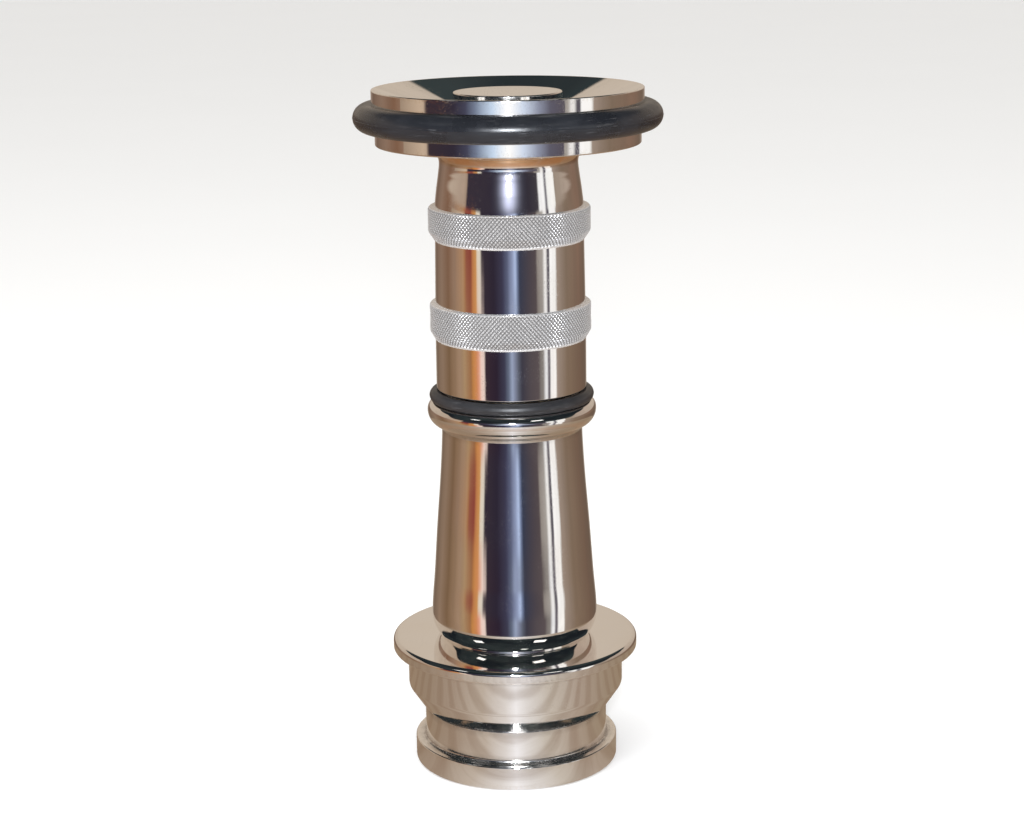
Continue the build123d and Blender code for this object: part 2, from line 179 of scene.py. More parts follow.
def polished_metal(name="polished_metal", tint=(0.97, 0.955, 0.94), warm=(0.91, 0.87, 0.81),
                   rough=0.018, wave=1.0, lines=1.0, smudge=1.0, neck_reflection_band=None):
    mat, g = new_material(name)
    obj = g.n("ShaderNodeTexCoord").outputs["Object"]
    s = g.attr("s")
    wear = g.attr("wear")
    cavity = g.attr("cavity")
    # colour: plating with a faint warm cast that drifts; painted shade darkens the concave corners in patches
    drift = g.remap(g.noise(obj, 38.0, detail=4.0), 0.38, 0.66)
    col = g.mix(g.math("MULTIPLY", drift, 0.22), tint, warm)
    spots = g.remap(g.noise(obj, 420.0, detail=3.0, rough=0.7), 0.66, 0.74)
    col = g.mix(g.math("MULTIPLY", spots, 0.10), col, (0.60, 0.55, 0.50))
    wornnoise = g.remap(g.noise(obj, 700.0, detail=3.0, rough=0.65), 0.42, 0.60)
    worn = g.math("MULTIPLY", wear, wornnoise)
    col = g.mix(g.math("MULTIPLY", worn, 0.30), col, (0.80, 0.70, 0.56))
    # painted shade: the concave corners (cavity) are darkened in colour, patchy by noise; the same mask also makes them
    # rougher
    corner_shade_mask = g.math("MULTIPLY", cavity, g.remap(g.noise(obj, 260.0, detail=4.0), 0.30, 0.62, 0.35, 1.0))
    col = g.mix(g.math("MULTIPLY", corner_shade_mask, 0.55), col, (0.20, 0.17, 0.145))
    if neck_reflection_band:
        # painted reflection: an orange band in the cove under the head, standing in for the head's underside mirrored
        # in the neck
        up = g.n("ShaderNodeSeparateXYZ")
        g.link(obj, up.inputs[0])
        zone = g.math("MULTIPLY", g.remap(up.outputs[2], neck_reflection_band[0] * MM, neck_reflection_band[1] * MM),
                      g.remap(g.noise(obj, 120.0, detail=3.0), 0.25, 0.6, 0.6, 0.95))
        col = g.mix(zone, col, (0.90, 0.58, 0.34))
    # roughness
    scr = scratches(g, obj)
    blot = g.remap(g.noise(obj, 26.0, detail=5.0, rough=0.62), 0.46, 0.72)
    r = g.math("MULTIPLY_ADD", blot, 0.030 * smudge, rough)
    r = g.math("MULTIPLY_ADD", scr, 0.16, r)
    r = g.math("MULTIPLY_ADD", worn, 0.12, r)
    r = g.math("MULTIPLY_ADD", corner_shade_mask, 0.30, r)
    turn = g.noise(None, 5.2, detail=3.0, rough=0.7, dims="1D", w=s)
    r = g.math("MULTIPLY_ADD", turn, 0.012 * lines, r, clamp=True)
    # relief: polishing waves, faint turning lines, scratches
    waves = g.noise(obj, 75.0, detail=1.5, rough=0.4)
    n = g.bump(waves, 0.000030 * wave)
    n = g.bump(turn, 0.0000012 * lines, normal=n)
    n = g.bump(scr, 0.0000015, normal=n)
    p = shader(g, Base_Color=col, Roughness=r, Normal=n)
    p.inputs["Metallic"].default_value = 1.0
    return mat


def turned_metal(name, base, dark, rough=0.22, line_scale=5.0):
    """Unplated turned metal, for the inner pieces and the fasteners."""
    mat, g = new_material(name)
    obj = g.n("ShaderNodeTexCoord").outputs["Object"]
    sep = g.n("ShaderNodeSeparateXYZ")
    g.link(obj, sep.inputs[0])
    drift = g.remap(g.noise(obj, 90.0, detail=5.0, rough=0.6), 0.36, 0.68)
    col = g.mix(g.math("MULTIPLY", drift, 0.65), base, dark)
    spots = g.remap(g.noise(obj, 620.0, detail=3.0, rough=0.7), 0.60, 0.72)
    col = g.mix(g.math("MULTIPLY", spots, 0.35), col, tuple(0.55 * c for c in dark))
    rad = g.n("ShaderNodeVectorMath", operation="LENGTH")
    flat = g.mapping(obj, scale=(1, 1, 0))
    g.link(flat, rad.inputs[0])
    w = g.math("ADD", g.math("MULTIPLY", sep.outputs[2], 1000.0), g.math("MULTIPLY", rad.outputs["Value"], 1000.0))
    turn = g.noise(None, line_scale, detail=3.0, rough=0.7, dims="1D", w=w)
    r = g.math("MULTIPLY_ADD", drift, 0.16, rough)
    r = g.math("MULTIPLY_ADD", turn, 0.12, r, clamp=True)
    n = g.bump(turn, 0.000012)
    n = g.bump(g.noise(obj, 900.0, detail=3.0), 0.000010, normal=n)
    p = shader(g, Base_Color=col, Roughness=r, Normal=n)
    p.inputs["Metallic"].default_value = 1.0
    return mat


def rubber(name, base=(0.016, 0.0165, 0.019), rough=0.34, bloom=0.5):
    mat, g = new_material(name)
    obj = g.n("ShaderNodeTexCoord").outputs["Object"]
    wear = g.attr("wear")
    drift = g.remap(g.noise(obj, 60.0, detail=4.0), 0.35, 0.68)
    col = g.mix(g.math("MULTIPLY", drift, 0.5), base, tuple(c * 1.9 for c in base))
    dust = g.remap(g.noise(obj, 330.0, detail=5.0, rough=0.7), 0.55, 0.80)
    col = g.mix(g.math("MULTIPLY", dust, 0.10 * bloom), col, (0.26, 0.25, 0.24))
    scuffv = g.mapping(obj, scale=(130.0, 130.0, 1500.0), rot=(0.08, 0.05, 0.0))
    scuff = g.remap(g.noise(scuffv, 1.0, detail=2.0), 0.60, 0.72)
    scuff = g.math("MULTIPLY", scuff, g.remap(wear, 0.0, 1.0, 0.25, 1.0))
    col = g.mix(g.math("MULTIPLY", scuff, 0.22), col, (0.12, 0.12, 0.125))
    r = g.math("MULTIPLY_ADD", drift, 0.10, rough)
    r = g.math("MULTIPLY_ADD", dust, 0.14, r)
    r = g.math("MULTIPLY_ADD", scuff, 0.16, r, clamp=True)
    grain = g.noise(obj, 2600.0, detail=2.0, rough=0.6)
    n = g.bump(grain, 0.000010)
    n = g.bump(g.noise(obj, 160.0, detail=2.0), 0.00006, normal=n)
    n = g.bump(scuff, 0.000012, normal=n)
    p = shader(g, Base_Color=col, Roughness=r, Normal=n)
    p.inputs["Metallic"].default_value = 0.0
    p.inputs["IOR"].default_value = 1.52
    p.inputs["Specular IOR Level"].default_value = 0.55
    return mat


def knurled_metal(name="knurled_metal"):
    """Plated knurl: rougher valleys darkened as painted shade, crests lightened as worn polish and painted highlight.
    """
    mat, g = new_material(name)
    obj = g.n("ShaderNodeTexCoord").outputs["Object"]
    depth = g.attr("cavity")
    crest = g.attr("wear")
    drift = g.remap(g.noise(obj, 60.0, detail=4.0), 0.36, 0.66)
    col = g.mix(g.math("MULTIPLY", drift, 0.25), (0.74, 0.73, 0.725), (0.65, 0.63, 0.61))
    # painted shade: the grooves are darkened by their depth
    col = g.mix(g.math("MULTIPLY", depth, 0.90), col, (0.13, 0.122, 0.118))
    # crests lightened towards white: partly worn polish, partly painted highlight
    col = g.mix(g.math("MULTIPLY", crest, 0.45), col, (0.96, 0.96, 0.96))
    r = g.math("MULTIPLY_ADD", depth, 0.22, 0.17)
    r = g.math("MULTIPLY_ADD", drift, 0.08, r)
    r = g.math("MULTIPLY_ADD", g.noise(obj, 1400.0, detail=2.0), 0.08, r, clamp=True)
    n = g.bump(g.noise(obj, 1800.0, detail=3.0, rough=0.6), 0.000018)
    p = shader(g, Base_Color=col, Roughness=r, Normal=n)
    p.inputs["Metallic"].default_value = 0.55
    p.inputs["Specular IOR Level"].default_value = 0.6
    return mat


M_POLISH = polished_metal("polished_plating")
M_POLISH_HEAD = polished_metal("polished_plating_head", rough=0.016, wave=0.7)
M_POLISH_DISC = polished_metal("polished_plating_disc", rough=0.075, wave=0.6, lines=2.5)
# the sleeve's plating carries a painted reflection band under the head, between z 236 and 238.6 mm
M_POLISH_NECK = polished_metal("polished_plating_sleeve", neck_reflection_band=(236.0, 238.6))
M_KNURL = knurled_metal()
M_BRASS = turned_metal("turned_brass", (0.66, 0.46, 0.20), (0.38, 0.24, 0.10), rough=0.20)
M_STEEL = turned_metal("stainless_steel", (0.52, 0.52, 0.53), (0.30, 0.30, 0.31), rough=0.26)
M_GREY = turned_metal("plain_turned_gunmetal", (0.60, 0.52, 0.40), (0.34, 0.27, 0.18), rough=0.24)
M_BUMPER = rubber("bumper_rubber", base=(0.010, 0.011, 0.014), rough=0.25, bloom=0.22)
M_RUBBER = rubber("seal_rubber", base=(0.016, 0.016, 0.018), rough=0.36, bloom=0.8)


# ---------------------------------------------------------------- turned meshes
def corner(p, q, n, f):
    ax, ay = p[0] - q[0], p[1] - q[1]
    bx, by = n[0] - q[0], n[1] - q[1]
    la, lb = math.hypot(ax, ay), math.hypot(bx, by)
    ax, ay, bx, by = ax / la, ay / la, bx / lb, by / lb
    half = math.acos(max(-1.0, min(1.0, ax * bx + ay * by))) / 2.0
    back = f / math.tan(half)
    t1 = (q[0] + ax * back, q[1] + ay * back)
    t2 = (q[0] + bx * back, q[1] + by * back)
    mx, my = ax + bx, ay + by
    lm = math.hypot(mx, my)
    centre = f / math.sin(half)
    mid = (q[0] + mx / lm * (centre - f), q[1] + my / lm * (centre - f))
    return t1, mid, t2


def arc_points(a, m, b):
    """Points from a to b on the circle through a, m, b, with a step of about 6 degrees."""
    ax, ay = a
    bx, by = m
    cx, cy = b
    d = 2.0 * (ax * (by - cy) + bx * (cy - ay) + cx * (ay - by))
    ux = ((ax * ax + ay * ay) * (by - cy) + (bx * bx + by * by) * (cy - ay) + (cx * cx + cy * cy) * (ay - by)) / d
    uy = ((ax * ax + ay * ay) * (cx - bx) + (bx * bx + by * by) * (ax - cx) + (cx * cx + cy * cy) * (bx - ax)) / d
    r = math.hypot(ax - ux, ay - uy)
    t0 = math.atan2(ay - uy, ax - ux)
    tm = math.atan2(by - uy, bx - ux)
    t1 = math.atan2(cy - uy, cx - ux)
    turn = (t1 - t0) % (2 * math.pi)
    if (tm - t0) % (2 * math.pi) > turn:
        turn -= 2 * math.pi
    n = max(3, int(math.ceil(abs(turn) / math.radians(7.0))))
    out = []
    for k in range(1, n + 1):
        t = t0 + turn * k / n
        sgn = 1.0 if turn > 0 else -1.0
        out.append((ux + r * math.cos(t), uy + r * math.sin(t), -math.sin(t) * sgn, math.cos(t) * sgn))
    first_tan = (-math.sin(t0) * (1 if turn > 0 else -1), math.cos(t0) * (1 if turn > 0 else -1))
    return first_tan, out


def spline_points(p0, pts, t0, t1):
    """Cubic through the points (Catmull-Rom tangents inside, given ones at the ends)."""
    P = [p0] + list(pts)
    n = len(P)
    T = []
    for i in range(n):
        if i == 0 or i == n - 1:
            j = 1 if i == 0 else n - 2
            length = math.hypot(P[j][0] - P[i][0], P[j][1] - P[i][1])
            tv = t0 if i == 0 else t1
            ln = math.hypot(*tv)
            T.append((tv[0] / ln, tv[1] / ln))
        else:
            dx, dy = P[i + 1][0] - P[i - 1][0], P[i + 1][1] - P[i - 1][1]
            ln = math.hypot(dx, dy)
            T.append((dx / ln, dy / ln))
    out = []
    for i in range(n - 1):
        L = math.hypot(P[i + 1][0] - P[i][0], P[i + 1][1] - P[i][1])
        m = max(4, int(L / 1.6))
        for k in range(1, m + 1):
            u = k / m
            h = (2 * u ** 3 - 3 * u ** 2 + 1, u ** 3 - 2 * u ** 2 + u, -2 * u ** 3 + 3 * u ** 2, u ** 3 - u ** 2)
            dh = (6 * u * u - 6 * u, 3 * u * u - 4 * u + 1, -6 * u * u + 6 * u, 3 * u * u - 2 * u)
            q = [h[0] * P[i][c] + h[1] * L * T[i][c] + h[2] * P[i + 1][c] + h[3] * L * T[i + 1][c] for c in (0, 1)]
            d = [dh[0] * P[i][c] + dh[1] * L * T[i][c] + dh[2] * P[i + 1][c] + dh[3] * L * T[i + 1][c] for c in (0, 1)]
            ln = math.hypot(*d)
            out.append((q[0], q[1], d[0] / ln, d[1] / ln))
    return T[0], out


def sample_profile(items, soften=0.18, step=2.2):
    """Closed profile as rows (r, z, tangent in r, tangent in z).  Every plain
    corner between straight runs gets a small radius, so that no edge is a knife."""
    n = len(items)

    def anchor(i):
        it = items[i % n]
        return it[2] if it[0] == "arc" else (it[1][-1] if it[0] == "spline" else (it[0], it[1]))

    rows = []
    pos = None
    start = None
    for i, it in enumerate(items):
        nxt = items[(i + 1) % n]
        if it[0] == "arc":
            tan, pts = arc_points(pos, it[1], it[2])
            rows.append((pos[0], pos[1], *tan))
            rows += pts
            pos = it[2]
        elif it[0] == "spline":
            tan, pts = spline_points(pos, it[1], it[2], it[3])
            rows.append((pos[0], pos[1], *tan))
            rows += pts
            pos = it[1][-1]
        else:
            q = (it[0], it[1])
            f = it[2] if len(it) == 3 else 0.0
            straight_next = nxt[0] not in ("arc", "spline")
            if not f and straight_next and i > 0:
                prev = pos
                la = math.hypot(prev[0] - q[0], prev[1] - q[1])
                na = (nxt[0], nxt[1])
                lb = math.hypot(na[0] - q[0], na[1] - q[1])
                if la > 1e-6 and lb > 1e-6 and q[0] > 1e-6:
                    ca = ((q[0] - prev[0]) * (na[0] - q[0]) + (q[1] - prev[1]) * (na[1] - q[1])) / la / lb
                    if ca < math.cos(math.radians(12)):
                        f = min(soften, 0.3 * la, 0.3 * lb)
            if f and i > 0:
                t1, mid, t2 = corner(pos, q, (nxt[0], nxt[1]), f)
                straight(rows, pos, t1, step)
                tan, pts = arc_points(t1, mid, t2)
                rows.append((t1[0], t1[1], *tan))
                rows += pts
                pos = t2
            else:
                if pos is not None:
                    straight(rows, pos, q, step)
                pos = q
                if start is None:
                    start = q
    straight(rows, pos, start, step)
    # drop repeats
    out = []
    for r in rows:
        if out and math.hypot(r[0] - out[-1][0], r[1] - out[-1][1]) < 1e-5 and \
                r[2] * out[-1][2] + r[3] * out[-1][3] > 0.9995:
            continue
        out.append(r)
    if math.hypot(out[0][0] - out[-1][0], out[0][1] - out[-1][1]) < 1e-5 and \
            out[0][2] * out[-1][2] + out[0][3] * out[-1][3] > 0.9995:
        out.pop()
    return out


def straight(rows, a, b, step):
    L = math.hypot(b[0] - a[0], b[1] - a[1])
    if L < 1e-6:
        return
    t = ((b[0] - a[0]) / L, (b[1] - a[1]) / L)
    m = max(1, int(math.ceil(L / step)))
    for k in range(0, m + 1):
        u = k / m
        rows.append((a[0] + (b[0] - a[0]) * u, a[1] + (b[1] - a[1]) * u, *t))


def profile_marks(rows):
    """Arc length, edge wear and cavity weight of each row, from how the profile turns."""
    n = len(rows)
    s = [0.0]
    for i in range(1, n):
        s.append(s[-1] + math.hypot(rows[i][0] - rows[i - 1][0], rows[i][1] - rows[i - 1][1]))
    total = s[-1] + math.hypot(rows[0][0] - rows[-1][0], rows[0][1] - rows[-1][1])
    turn = [0.0] * n
    for i in range(n):
        j = (i + 1) % n
        cr = rows[i][2] * rows[j][3] - rows[i][3] * rows[j][2]
        dt = rows[i][2] * rows[j][2] + rows[i][3] * rows[j][3]
        a = math.atan2(cr, dt)
        ds = (s[j] - s[i]) % total
        # a wide bulge isn't an edge: count what turns within half a millimetre
        k = a if ds < 0.6 else a * 0.6 / ds * 0.5
        turn[i] += k * 0.5
        turn[j] += k * 0.5
    wear, cav = [0.0] * n, [0.0] * n
    for i in range(n):
        if abs(turn[i]) < 0.02:
            continue
        for d in range(-14, 15):
            j = (i + d) % n
            dist = abs(s[j] - s[i])
            dist = min(dist, total - dist)
            if dist > 1.4:
                continue
            if turn[i] > 0:
                wear[j] += turn[i] * math.exp(-(dist / 0.45) ** 2)
            else:
                cav[j] += -turn[i] * math.exp(-(dist / 0.70) ** 2)
    return s, [min(1.0, w / 1.0) for w in wear], [min(1.0, c / 1.0) for c in cav]


class Profile:
    """A counter-clockwise closed (r, z) profile, whose solid lies to the left."""

    def __init__(self, items, soften=0.18, step=2.2):
        self.rows = sample_profile(items, soften, step)
        area = 0.0
        for a, b in zip(self.rows, self.rows[1:] + self.rows[:1]):
            area += a[0] * b[1] - b[0] * a[1]
        if area < 0:
            self.rows = [(r, z, -tr, -tz) for r, z, tr, tz in reversed(self.rows)]
        self.s, self.wear, self.cav = profile_marks(self.rows)
        self.tree = kdtree.KDTree(len(self.rows))
        for i, r in enumerate(self.rows):
            self.tree.insert((r[0], r[1], 0.0), i)
        self.tree.balance()

    def normal(self, i):
        return self.rows[i][3], -self.rows[i][2]      # outward: right of the tangent


def lathe(name, items, material, seg=256, soften=0.18, step=2.2, keep_profile=False):
    """Closed turned mesh with exact normals and the attributes s, wear and cavity."""
    pf = items if isinstance(items, Profile) else Profile(items, soften, step)
    rows = pf.rows
    n = len(rows)
    verts, faces = [], []
    index = []
    for i, (r, z, _, _) in enumerate(rows):
        if r < 1e-4:
            index.append([len(verts)] * seg)
            verts.append((0.0, 0.0, z * MM))
        else:
            start = len(verts)
            for k in range(seg):
                a = 2 * math.pi * k / seg
                verts.append((r * math.cos(a) * MM, r * math.sin(a) * MM, z * MM))
            index.append(list(range(start, start + seg)))
    src = []
    for i, v in enumerate(index):
        src += [i] if v[0] == v[-1] else [i] * seg
    for i in range(n):
        j = (i + 1) % n
        A, B = index[i], index[j]
        pole_a, pole_b = rows[i][0] < 1e-4, rows[j][0] < 1e-4
        if pole_a and pole_b:
            continue
        same = math.hypot(rows[i][0] - rows[j][0], rows[i][1] - rows[j][1]) < 1e-6
        for k in range(seg):
            m = (k + 1) % seg
            if same:
                continue
            if pole_a:
                faces.append((A[0], B[m], B[k]))
            elif pole_b:
                faces.append((A[k], A[m], B[0]))
            else:
                faces.append((A[k], A[m], B[m], B[k]))
    mesh = bpy.data.meshes.new(name)
    mesh.from_pydata(verts, [], faces)
    # rows that stand at the same place with two tangents are one edge, split in shading only
    obj = bpy.data.objects.new(name, mesh)
    scene.collection.objects.link(obj)
    mesh.materials.append(material)
    for key, vals in (("s", pf.s), ("wear", pf.wear), ("cavity", pf.cav)):
        at = mesh.attributes.new(key, "FLOAT", "POINT")
        at.data.foreach_set("value", [vals[i] for i in src])
    weld_and_shade(obj, pf)
    return (obj, pf) if keep_profile else obj


def weld_and_shade(obj, pf):
    """Joins doubled rows and gives every face corner the profile's exact normal."""
    mesh = obj.data
    bm = bmesh.new()
    bm.from_mesh(mesh)
    bmesh.ops.remove_doubles(bm, verts=bm.verts, dist=1e-8)
    bmesh.ops.recalc_face_normals(bm, faces=bm.faces)
    bm.to_mesh(mesh)
    bm.free()
    shade(obj, pf)


def shade(obj, pf, smooth_holes=True):
    mesh = obj.data
    mesh.polygons.foreach_set("use_smooth", [True] * len(mesh.polygons))
    mesh.update()
    normals = []
    cache = {}
    vs = mesh.vertices
    for poly in mesh.polygons:
        fn = poly.normal
        c = poly.center
        for li in poly.loop_indices:
            vi = mesh.loops[li].vertex_index
            co = vs[vi].co
            r = math.hypot(co.x, co.y)
            if vi not in cache:
                found = pf.tree.find_range((r / MM, co.z / MM, 0.0), 0.004)
                if not found:
                    found = [pf.tree.find((r / MM, co.z / MM, 0.0))]
                cache[vi] = [f[1] for f in found]
            best, dot = None, -2.0
            if r > 1e-7:
                ux, uy = co.x / r, co.y / r
            else:
                rc = math.hypot(c.x, c.y) or 1.0
                ux, uy = c.x / rc, c.y / rc
            for i in cache[vi]:
                nr, nz = pf.normal(i)
                v = (nr * ux, nr * uy, nz)
                d = v[0] * fn.x + v[1] * fn.y + v[2] * fn.z
                if d > dot:
                    best, dot = v, d
            if r <= 1e-7:
                best = (0.0, 0.0, 1.0 if fn.z > 0 else -1.0)
            normals.append(best if dot > 0.75 or r <= 1e-7 else (fn.x, fn.y, fn.z))
    mesh.normals_split_custom_set(normals)


def cut(obj, cutter, pf):
    """Takes a closed cutter out of obj, then shades obj again."""
    mod = obj.modifiers.new("cut", "BOOLEAN")
    mod.operation = "DIFFERENCE"
    mod.solver = "EXACT"
    mod.object = cutter
    bpy.context.view_layer.update()
    dg = bpy.context.evaluated_depsgraph_get()
    new = bpy.data.meshes.new_from_object(obj.evaluated_get(dg), preserve_all_data_layers=True, depsgraph=dg)
    obj.modifiers.clear()
    old = obj.data
    obj.data = new
    new.name = old.name
    bpy.data.meshes.remove(old)
    bpy.data.objects.remove(cutter)
    shade(obj, pf)


def radial_cutter(r, x0, x1, z, azimuth, lip=0.0):
    """Round cutter along the radius; lip opens its outer end for an edge break."""
    bm = bmesh.new()
    seg = 48
    rings = [(x0, r), (x1 - lip * 2 if lip else x1, r)] if not lip else [(x0, r), (x1 - 2.0 - lip, r), (x1 - 2.0 + lip * 3, r + lip * 4), (x1, r + lip * 4)]
    loops = []
    for x, rad in rings:
        loops.append([bm.verts.new((x * MM, rad * math.cos(2 * math.pi * k / seg) * MM,
                                    (z + rad * math.sin(2 * math.pi * k / seg)) * MM)) for k in range(seg)])
    for a, b in zip(loops, loops[1:]):
        for k in range(seg):
            m = (k + 1) % seg
            bm.faces.new((a[k], a[m], b[m], b[k]))
    bm.faces.new(list(reversed(loops[0])))
    bm.faces.new(loops[-1])
    bmesh.ops.recalc_face_normals(bm, faces=bm.faces)
    mesh = bpy.data.meshes.new("cutter")
    bm.to_mesh(mesh)
    bm.free()
    obj = bpy.data.objects.new("cutter", mesh)
    scene.collection.objects.link(obj)
    obj.matrix_world = Matrix.Rotation(math.radians(azimuth), 4, "Z")
    return obj


def place(obj, body, slot, *replaced):
    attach(obj, body)
    if replaced:
        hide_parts(*replaced)
    return obj


# ---------------------------------------------------------------- coupling
coupling_items = [
    (INLET_R + 0.8, 0.0),
    (LIP_R, 0.0, 1.4), (LIP_R, LIP_TOP, 0.6),
    (NOSE_R, LIP_TOP, 1.2), (NOSE_R, NOSE_TOP, 1.0),
    (BODY_R, BODY_LOW, 2.6), (BODY_R, FLANGE_LOW, 0.8),
    (FLANGE_R, FLANGE_LOW, 0.8), (FLANGE_R, FLANGE_TOP, 1.8),
    (SPIGOT_R + 0.02, FLANGE_TOP), (SPIGOT_R + 0.02, SPIGOT_LOW - 2.0),
    (BORE_R, SPIGOT_LOW - 2.0), (BORE_R, SPIGOT_LOW - 3.5),
    (INLET_R, INLET_TOP), (INLET_R, 0.8),
]
coupling, pf = lathe("coupling", coupling_items, M_POLISH, seg=320, keep_profile=True)
cut(coupling, radial_cutter(2.5, SPIGOT_R - 2.0, BODY_R + 2.0, 41.3, 90.0, lip=0.12), pf)
place(coupling, "barrel_body", "polished_metal", "male_coupling")

# ---------------------------------------------------------------- barrel
barrel_items = [
    (BORE_R, SPIGOT_LOW), (SPIGOT_R - 0.8, SPIGOT_LOW), (SPIGOT_R, SPIGOT_LOW + 0.8),
    (SPIGOT_R, FLANGE_TOP + 0.01), (28.5, FLANGE_TOP + 0.01),
    ("arc", (31.31, 54.76), (32.3, 59.5)),
    ("spline", [(31.0, 77.5), (29.75, 95.0), (28.0, 116.5), (27.05, 133.8)], (0.0, 1.0), (-0.03, 1.0)),
    ("arc", (27.5, 135.2), (28.8, 136.0)),
    ("arc", (31.55, 138.4), (BEAD_R, 141.9)),
    ("arc", (31.95, 143.75), (30.6, BEAD_TOP)),
    (RING_SEAT_R, BEAD_TOP), (RING_SEAT_R, RING_SEAT_TOP),
    (TUBE_BORE, RING_SEAT_TOP), (TUBE_BORE, BORE_TOP + 4.0), (21.6, BORE_TOP), (BORE_R, BORE_TOP),
    (BORE_R, 97.9), (24.9, 97.9), (24.9, 96.2), (BORE_R, 96.2),
]
barrel = lathe("barrel_shell", barrel_items, M_POLISH, seg=320)
place(barrel, "barrel_body", "polished_metal", "barrel")


def above(name, node, z, material):
    """The part of a CAD node above a height, closed, as a new piece."""
    bm = bmesh.new()
    bm.from_mesh(nodes[node].data)
    bmesh.ops.remove_doubles(bm, verts=bm.verts, dist=1e-7)
    geom = bm.verts[:] + bm.edges[:] + bm.faces[:]
    res = bmesh.ops.bisect_plane(bm, geom=geom, plane_co=(0, 0, z * MM), plane_no=(0, 0, 1), clear_inner=True)
    edges = [e for e in bm.edges if e.is_boundary]
    bmesh.ops.triangle_fill(bm, edges=edges, use_beauty=True)
    bmesh.ops.recalc_face_normals(bm, faces=bm.faces)
    mesh = bpy.data.meshes.new(name)
    bm.to_mesh(mesh)
    bm.free()
    obj = bpy.data.objects.new(name, mesh)
    scene.collection.objects.link(obj)
    mesh.materials.append(material)
    for poly in mesh.polygons:
        poly.use_smooth = True
    mesh.set_sharp_from_angle(angle=math.radians(28))
    return obj


tube = above("barrel_tube", "barrel", RING_SEAT_TOP + 0.02, M_GREY)
place(tube, "barrel_body", "polished_metal", "barrel")

# ---------------------------------------------------------------- sleeve
sleeve_items = [
    (SLEEVE_BORE + 0.8, SLEEVE_LOW), (28.8, SLEEVE_LOW, 0.8), (28.75, 169.3),
    (28.72, 176.0), (28.6, 183.4), (28.25, 207.2), (28.2, 214.0), (28.15, 220.2),
    ("spline", [(27.45, 226.5), (26.6, 232.5), (NECK_R, NECK_TOP)], (-0.08, 1.0), (0.0, 1.0)),
    ("arc", (NECK_R + 1.404, NECK_TOP + 3.857), (NECK_R + 4.958, NECK_TOP + 5.909)),
    (NECK_R + 4.958, 243.45),
    (HEAD_SPIGOT_R, 243.45), (HEAD_SPIGOT_R, SLEEVE_TOP - 0.6), (HEAD_SPIGOT_R - 0.6, SLEEVE_TOP),
    (MOUTH_R, SLEEVE_TOP), (MOUTH_R, 234.5),
    ("arc", (19.6, 230.2), (THROAT_R, 225.8)),
    (THROAT_R, SEAT_Z + 0.8), (THROAT_R + 0.8, SEAT_Z), (21.0, SEAT_Z), (SLEEVE_BORE, SEAT_Z - 3.0),
    (SLEEVE_BORE, WIPER_LOW + WIPER_W), (26.2, WIPER_LOW + WIPER_W), (26.2, WIPER_LOW),
    (SLEEVE_BORE, WIPER_LOW), (SLEEVE_BORE, SLEEVE_LOW + 0.8),
]
sleeve, pf = lathe("sleeve_shell", sleeve_items, M_POLISH_NECK, seg=256, keep_profile=True)
for az in (0.0, 180.0):
    cut(sleeve, radial_cutter(3.0, SLEEVE_BORE - 2.0, BAND_R + 1.0, 178.15, az), pf)
place(sleeve, "sleeve", "polished_metal", "twist_sleeve")


